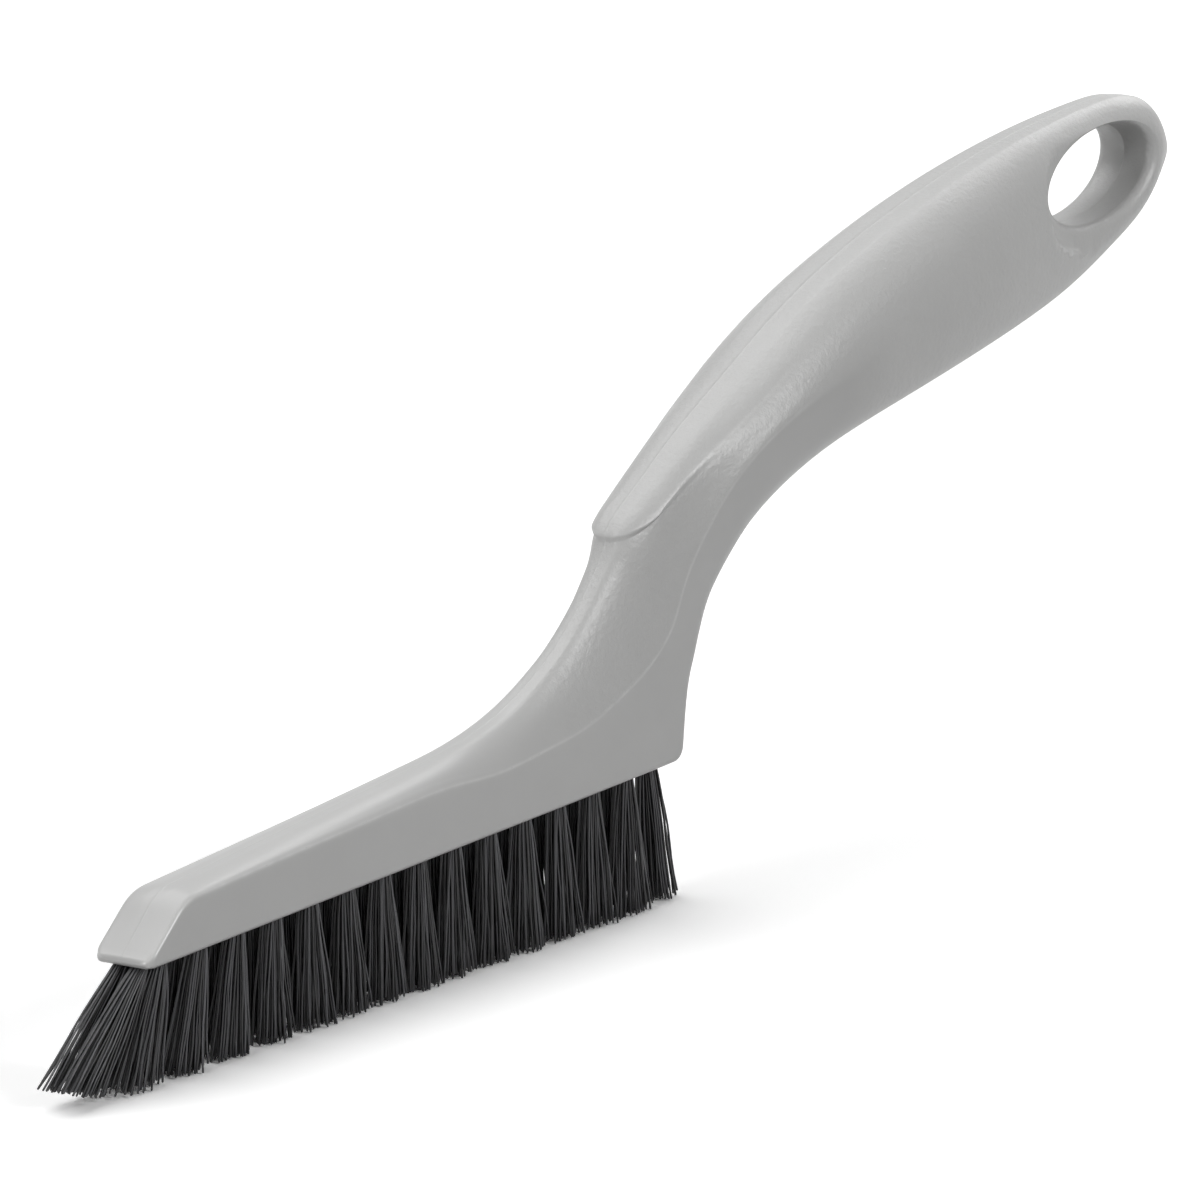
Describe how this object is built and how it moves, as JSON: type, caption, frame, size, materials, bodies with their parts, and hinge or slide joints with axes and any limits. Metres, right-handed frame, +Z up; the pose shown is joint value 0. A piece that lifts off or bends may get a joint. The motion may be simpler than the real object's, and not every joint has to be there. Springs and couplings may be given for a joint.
{
  "type": "window track brush",
  "caption": "Narrow hand brush: a long slim head of stiff bristles that lean forwards at the nose, a curved grip and an oval hang hole.",
  "frame": {"origin": "middle of the brush's bounding box at the level of the trimmed bristle tips, as it stands on them", "axes": "+X from the nose to the end of the grip, +Y to the left across the head, +Z up from the bristle tips to the grip"},
  "size_m": [0.2462, 0.0194, 0.0923],
  "materials": {
    "grey_plastic": "light neutral grey, satin, with a very fine grain",
    "black_filament": "charcoal black, semi-matte",
    "anchor_wire": "plain drawn wire, hidden in the head"
  },
  "bodies": {
    "root": {"handle": "grey_plastic", "nose_tuft_right": "black_filament", "nose_tuft_left": "black_filament", "tuft_right_01": "black_filament", "tuft_left_01": "black_filament", "tuft_right_02": "black_filament", "tuft_left_02": "black_filament", "tuft_right_03": "black_filament", "tuft_left_03": "black_filament", "tuft_right_04": "black_filament", "tuft_left_04": "black_filament", "tuft_right_05": "black_filament", "tuft_left_05": "black_filament", "tuft_right_06": "black_filament", "tuft_left_06": "black_filament", "tuft_right_07": "black_filament", "tuft_left_07": "black_filament", "tuft_right_08": "black_filament", "tuft_left_08": "black_filament", "tuft_right_09": "black_filament", "tuft_left_09": "black_filament", "tuft_right_10": "black_filament", "tuft_left_10": "black_filament", "tuft_right_11": "black_filament", "tuft_left_11": "black_filament", "tuft_right_12": "black_filament", "tuft_left_12": "black_filament", "tuft_right_13": "black_filament", "tuft_left_13": "black_filament", "tuft_right_14": "black_filament", "tuft_left_14": "black_filament", "heel_tuft": "black_filament", "anchor_right_01": "anchor_wire", "anchor_left_01": "anchor_wire", "anchor_right_02": "anchor_wire", "anchor_left_02": "anchor_wire", "anchor_right_03": "anchor_wire", "anchor_left_03": "anchor_wire", "anchor_right_04": "anchor_wire", "anchor_left_04": "anchor_wire", "anchor_right_05": "anchor_wire", "anchor_left_05": "anchor_wire", "anchor_right_06": "anchor_wire", "anchor_left_06": "anchor_wire", "anchor_right_07": "anchor_wire", "anchor_left_07": "anchor_wire", "anchor_right_08": "anchor_wire", "anchor_left_08": "anchor_wire", "anchor_right_09": "anchor_wire", "anchor_left_09": "anchor_wire", "anchor_right_10": "anchor_wire", "anchor_left_10": "anchor_wire", "anchor_right_11": "anchor_wire", "anchor_left_11": "anchor_wire", "anchor_right_12": "anchor_wire", "anchor_left_12": "anchor_wire", "anchor_right_13": "anchor_wire", "anchor_left_13": "anchor_wire", "anchor_right_14": "anchor_wire", "anchor_left_14": "anchor_wire"}
  },
  "joints": []
}
